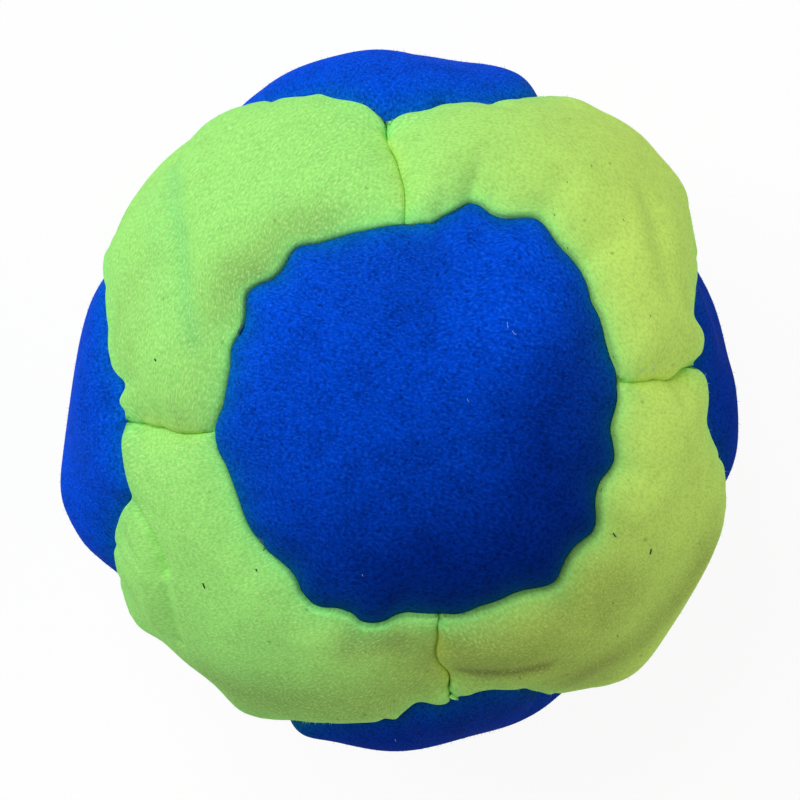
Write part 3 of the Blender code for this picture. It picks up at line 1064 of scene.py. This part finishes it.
def nappedSuede(name, looks):
    made, tree, shader = newMaterial(name)
    spot = addNode(tree, "TexCoord", {}, "Object")
    sheet = addNode(tree, "UVMap", {}, uv_map="nap")
    # Painted light and shade laid on each panel: broad shade, crease shade, shade and dirt marks,
    # light by seams
    lean, creaseShade, shadeAndDirt, roundSeamPaintedLight, shortSeamPaintedLight = (
        addNode(tree, "Attribute", {}, "Fac", attribute_name=value)
        for value in ("lean", "creaseShade", "shadeAndDirt", "roundSeamPaintedLight", "shortSeamPaintedLight")
    )
    length, width = looks["tuft"]
    strokes = addNode(tree, "Mapping", {"Vector": sheet, "Scale": (width / length, 1, 1)})
    sizes = (
        (strokes, width / napSpan, 1),
        (spot, width * 2 * mm, 2),
        (spot, looks["patch"] * mm, 2),
    )
    tufts, clumps, patches = (
        addNode(tree, "TexNoise", {"Vector": place, "Scale": 1 / size, "Detail": detail}, "Fac")
        for place, size, detail in sizes
    )
    links = {"Vector": spot, "Scale": 1 / (looks["pit"] * mm)}
    cells = addNode(tree, "TexVoronoi", links, "Distance")
    pitRange = looks["pitWidth"] * 1.6, looks["pitWidth"] * 0.8
    # The painted shade towards the lower right, warmer on the lime
    links = {0: lean, 6: linear(looks["colour"]), 7: linear(looks["paintedLightColour"])}
    colour = addNode(tree, "Mix", links, 2, data_type="RGBA")
    links = {0: lean, 6: linear(looks["paleColour"]), 7: colour}
    pale = addNode(tree, "Mix", links, 2, data_type="RGBA")
    dark = [looks["darkShare"] ** 2] * 3 + [1]
    # From below: where a layer lies, the values between which it comes in, how much of it at most,
    # its shade and how that is laid. The first four are painted shade and painted light.
    layers = (
        (creaseShade, (0, 1), 1, linear(looks["creaseShadeColour"]), "MIX"),
        (shadeAndDirt, (0, 1), 1, linear(looks["shadeAndDirtColour"]), "MIX"),
        (roundSeamPaintedLight, (0, 1), looks["roundSeamPaintedLightShare"], linear(looks["roundSeamPaintedLightColour"]), "MIX"),
        (shortSeamPaintedLight, (0, 1), looks["shortSeamPaintedLightShare"], linear(looks["shortSeamPaintedLightColour"]), "MIX"),
        (patches, napRanges["patch"], looks["patchShare"], dark, "MULTIPLY"),
        (tufts, napRanges["tuft"], looks["tuftShare"], dark, "MULTIPLY"),
        (clumps, napRanges["clump"], looks["tuftShare"], dark, "MULTIPLY"),
        (tufts, napRanges["pale"], looks["paleShare"], pale, "MIX"),
        (cells, pitRange, looks["pitShare"], dark, "MULTIPLY"),
    )
    for place, (low, high), most, shade, blend in layers:
        links = {"Value": place, "From Min": low, "From Max": high, "To Max": most}
        share = addNode(tree, "MapRange", links)
        links = {0: share, 6: colour, 7: shade}
        colour = addNode(tree, "Mix", links, 2, data_type="RGBA", blend_type=blend)
    # The last share is that of the pits
    height = addNode(tree, "Math", {0: tufts, 1: clumps}, operation="ADD")
    height = addNode(tree, "Math", {0: height, 1: share}, operation="SUBTRACT")
    feed(tree, shader, {
        "Base Color": colour,
        "Normal": addNode(tree, "Bump", {"Height": height, "Distance": looks["bump"] * mm}),
        "Roughness": looks["roughness"],
        "Specular IOR Level": looks["specular"],
        "Sheen Weight": looks["sheen"],
        "Sheen Tint": linear(looks["paleColour"]),
    })
    return made


blueSuede = nappedSuede("blueNappedSuede", blueLooks)
limeSuede = nappedSuede("limeNappedSuede", limeLooks)

roundForms = [(f"round_panel_{place}", place, None) for place in axes]
cornerForms = [
    (f"corner_panel_{high}_{deep}_{wide}", None, (high, deep, wide))
    for high in ("top", "bottom")
    for deep in ("front", "back")
    for wide in ("left", "right")
]
clothMoved = clothMoves(roundForms + cornerForms)
print("cloth settled")
bluePieces = [buildPanel(*form, blueSuede, "blue_suede", clothMoved) for form in roundForms]
limePieces = [buildPanel(*form, limeSuede, "lime_suede", clothMoved) for form in cornerForms]
print("panels built")


# Fill: plastic pellets, packed loosely up to the suede and the seams' edges inside it
fill = {
    "pellet": 3.0,
    "gap": 0.15,
    "jitter": 0.1,
    "core": 19.3,           # pellets lie anywhere this near to the bag's middle
    "reach": 22.0,          # and up to this far away from the seams
    "seamClear": 3.2,
    "floor": 2.4,
    "rows": 12,             # of their lattice, each way from the middle
}


def seamDistance(d):
    # How far each direction lies from the nearest seam
    nearest = np.full(len(d), 99.0)
    for place in axes:
        nearest = np.minimum(nearest, np.abs(roundPlace(place, d)[1]))
    for pair in shortSeams:
        along, beside = shortPlace(pair, d)
        within = np.abs(along) < bag["shortSeam"] / 2
        nearest = np.where(within, np.minimum(nearest, np.abs(beside)), nearest)
    return nearest


def addPellets(finish):
    step = fill["pellet"] + fill["gap"]
    counts = np.arange(-fill["rows"], fill["rows"] + 1)
    i, j, k = (c.ravel() for c in np.meshgrid(counts, counts, counts))
    third = math.sqrt(1 / 12)
    places = [i + j / 2 + k / 2, j * 3 * third + k * third, k * math.sqrt(2 / 3)]
    places = np.stack(places, axis=1) * step
    places += chance.uniform(-fill["jitter"], fill["jitter"], places.shape)
    reach = np.linalg.norm(places, axis=1)
    clear = seamDistance(unit(places)) > fill["seamClear"]
    places = places[(reach < fill["core"]) | ((reach < fill["reach"]) & clear)] + bagMiddle
    places = places[places[:, 2] > fill["floor"]]
    bm = bmesh.new()
    for place in places:
        spot = Matrix.Translation(Vector(place * mm))
        bmesh.ops.create_icosphere(bm, subdivisions=1, radius=fill["pellet"] / 2 * mm, matrix=spot)
    mesh = bpy.data.meshes.new("pellets")
    bm.to_mesh(mesh)
    bm.free()
    mesh.shade_smooth()
    mesh.materials.append(finish)
    piece = addObject("pellets", mesh)
    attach(piece, "root")
    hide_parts("pellet_fill")
    print("pellets:", len(places))


# Two shades, size of their clouds in mm, roughness, and height of as fine a bump in mm
mottles = {
    # Moulded plastic: pale, smooth and slightly glossy, each pellet a little its own shade
    "pelletPlastic": ("#DCDCD4", "#F0F0EC", 3.0, 0.35, 0.02),
    # Twisted polyester, waxed: dark, matt, with the fine ridges of its plies
    "waxedThread": ("#0B3B4E", "#16566A", 0.15, 0.6, 0.03),
    # Dust and hair: dark and dull, or pale and dull
    "darkLintFibre": ("#182A1C", "#2C4430", 0.2, 0.8, 0.01),
    "greenLintFibre": ("#4E6E34", "#6E8A3E", 0.2, 0.8, 0.01),
    "paleLooseFibre": ("#7FA4E8", "#C8DCD8", 0.3, 0.7, 0.01),
}


def mottled(name):
    first, second, size, roughness, bump = mottles[name]
    made, tree, shader = newMaterial(name)
    spot = addNode(tree, "TexCoord", {}, "Object")
    links = {"Vector": spot, "Scale": 1 / (size * mm), "Detail": 2}
    clouds = addNode(tree, "TexNoise", links, "Fac")
    links = {0: clouds, 6: linear(first), 7: linear(second)}
    feed(tree, shader, {
        "Base Color": addNode(tree, "Mix", links, 2, data_type="RGBA"),
        "Normal": addNode(tree, "Bump", {"Height": clouds, "Distance": bump * mm}),
        "Roughness": roughness,
    })
    return made


addPellets(mottled("pelletPlastic"))
waxedThread = mottled("waxedThread")
threads = [node for name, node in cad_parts.items() if "thread" in name]
for node in threads:
    for slot in node.material_slots:
        slot.material = waxedThread
print("threads finished:", len(threads))


# What clings to the suede: fuzz of its own loose fibres, lint, hairs, and one stitch that shows

fuzz = {
    "perMm": 1.1,               # fibres on each square millimetre
    "length": (0.1, 0.34),
    "thick": 0.011,
    "spread": 1.3,              # how far they lean any way
    "out": 0.45,                # where a fibre's middle stands over the suede, of its length
    "level": 23.3,              # none start nearer to the bag's middle than this
    "clear": 1.5,               # or nearer to the floor
}
darkLint = [
    [(155, 359), (156, 361)], [(256, 569), (257, 571)], [(203, 583), (205, 588)],
    [(613, 533), (615, 536), (616, 536)], [(651, 549), (650, 554)],
]
faintLint = [
    [(602, 488), (601, 491)], [(623, 219), (624, 221)], [(613, 356), (614, 358)],
    [(567, 247), (568, 249)], [(591, 165), (592, 167)], [(567, 181), (567, 183)],
    [(554, 214), (555, 216)], [(650, 315), (651, 317)], [(617, 635), (618, 637)],
    [(519, 677), (521, 679)], [(258, 538), (263, 541), (265, 547), (263, 551)],
]
paleHairs = [
    [(655, 365), (653, 371), (655, 378)], [(362, 574), (363, 576)], [(395, 739), (396, 741)],
    [(507, 322), (508, 328)], [(512, 331), (516, 335)], [(467, 399), (469, 402)],
    [(640, 372), (645, 369)],
]
looseStitch = [[(238, 333), (240, 329), (242, 325)]]


def addFuzz(name, kind, finish, pieces):
    whole = bmesh.new()
    mesh = bpy.data.meshes.new(name)
    for piece in pieces:
        bm = bmesh.new()
        faces = piece.data.polygons
        middles, ways, areas = (np.empty((len(faces), size)) for size in (3, 3, 1))
        for key, values in (("center", middles), ("normal", ways), ("area", areas)):
            faces.foreach_get(key, values.ravel())
        middles, areas = middles / mm, areas[:, 0] / mm ** 2
        # The mesh operators give the faces another order each run
        order = np.lexsort(np.round(middles, 3).T)
        middles, ways, areas = middles[order], ways[order], areas[order]
        areas *= np.linalg.norm(middles - bagMiddle, axis=1) > fuzz["level"]
        areas *= middles[:, 2] > fuzz["clear"]
        picked = int(areas.sum() * fuzz["perMm"])
        picked = chance.choice(len(faces), picked, p=areas / areas.sum())
        leaning = ways[picked] + chance.normal(0, fuzz["spread"] / 2, (len(picked), 3))
        lengths = chance.uniform(*fuzz["length"], len(picked))
        for start, way, length in zip(middles[picked], unit(leaning), lengths):
            place = Matrix.Translation(Vector((start + way * length * fuzz["out"]) * mm))
            place = place @ Vector(way).to_track_quat("Z", "Y").to_matrix().to_4x4()
            size = {"radius1": fuzz["thick"] * mm, "radius2": 0, "depth": length * mm}
            bmesh.ops.create_cone(bm, segments=3, matrix=place, **size)
        bm.to_mesh(mesh)
        bm.free()
        whole.from_mesh(mesh)
    # The fuzz gets the same painted shade towards the lower right
    layValue(whole, "lean", paintedLightAt(np.array([v.co for v in whole.verts]) / mm, kind))
    whole.to_mesh(mesh)
    whole.free()
    mesh.materials.append(finish)
    piece = addObject(name, mesh)
    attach(piece, "root")
    print(name, "faces:", len(mesh.polygons))


def onSuede(pixel, trees, lift):
    # The place on the suede that this pixel of the photograph shows
    way = Vector(raysAt(pixel)[0]).normalized()
    hits = [tree.ray_cast(Vector(camPlace * mm), way) for tree in trees]
    place, normal, _, _ = min((hit for hit in hits if hit[0]), key=lambda hit: hit[3])
    return place + normal * lift * mm


def addHairs(name, lines, thick, finish):
    curve = bpy.data.curves.new(name, "CURVE")
    curve.dimensions = "3D"
    curve.bevel_depth = thick * mm
    curve.bevel_resolution = 1
    curve.use_fill_caps = True
    curve.materials.append(finish)
    for line in lines:
        spline = curve.splines.new("POLY")
        spline.points.add(len(line) - 1)
        for point, pixel in zip(spline.points, line):
            point.co = (*onSuede(pixel, suedeTrees, thick * 0.8), 1)
    piece = addObject(name, curve)
    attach(piece, "root")


addFuzz("blue_fuzz", "side", blueSuede, bluePieces)
addFuzz("lime_fuzz", "corner", limeSuede, limePieces)
graph = bpy.context.evaluated_depsgraph_get()
suedeTrees = [BVHTree.FromObject(piece, graph) for piece in bluePieces + limePieces]
addHairs("dark_lint", darkLint, 0.05, mottled("darkLintFibre"))
addHairs("faint_lint", faintLint, 0.025, mottled("greenLintFibre"))
addHairs("pale_hairs", paleHairs, 0.014, mottled("paleLooseFibre"))
addHairs("loose_stitch", looseStitch, 0.12, waxedThread)
print("fuzz, lint and hairs added")


# Stage: a pale floor and soft light from the upper left

stage = {
    "floor": 1.5,
    "floorColour": "#FFFFFF",
    "white": 0.9,           # share of the paper that the camera sees as plain white
    "world": 0.35,
    "lamps": {              # place, size in metres and power
        "keyLamp": ((-0.38, 0.44, 0.72), 0.75, 6.2),
        "fillLamp": ((0.7, -0.2, 0.4), 0.6, 1.5),
    },
}


def addStage():
    bm = bmesh.new()
    bmesh.ops.create_grid(bm, x_segments=1, y_segments=1, size=stage["floor"])
    mesh = bpy.data.meshes.new("floor")
    bm.to_mesh(mesh)
    bm.free()
    made, tree, shader = newMaterial("whitePaper")
    white = linear(stage["floorColour"])
    feed(tree, shader, {"Base Color": white})
    camera, glossy = (
        addNode(tree, "LightPath", {}, ray) for ray in ("Is Camera Ray", "Is Glossy Ray")
    )
    seen = addNode(tree, "Math", {0: camera, 1: glossy}, operation="MAXIMUM")
    seen = addNode(tree, "Math", {0: seen, 1: stage["white"]}, operation="MULTIPLY")
    plain = addNode(tree, "Emission", {"Color": white})
    mixed = addNode(tree, "MixShader", {0: seen, 1: shader.outputs[0], 2: plain})
    feed(tree, tree.nodes["Material Output"], {"Surface": mixed})
    mesh.materials.append(made)
    addObject("floor", mesh)


def addLights():
    for name, (place, size, power) in stage["lamps"].items():
        data = bpy.data.lights.new(name, "AREA")
        data.size = size
        data.energy = power
        lamp = addObject(name, data)
        lamp.location = place
        aim = Vector(bagMiddle * mm) - Vector(place)
        lamp.rotation_euler = aim.to_track_quat("-Z", "Y").to_euler()
    world = bpy.data.worlds.new("world")
    world.use_nodes = True
    sky = world.node_tree.nodes["Background"]
    feed(world.node_tree, sky, {"Strength": stage["world"], "Color": (1, 1, 1, 1)})
    bpy.context.scene.world = world


addCamera()
addStage()
addLights()
bpy.context.scene.view_settings.view_transform = "Standard"
print("camera, floor and lights added")
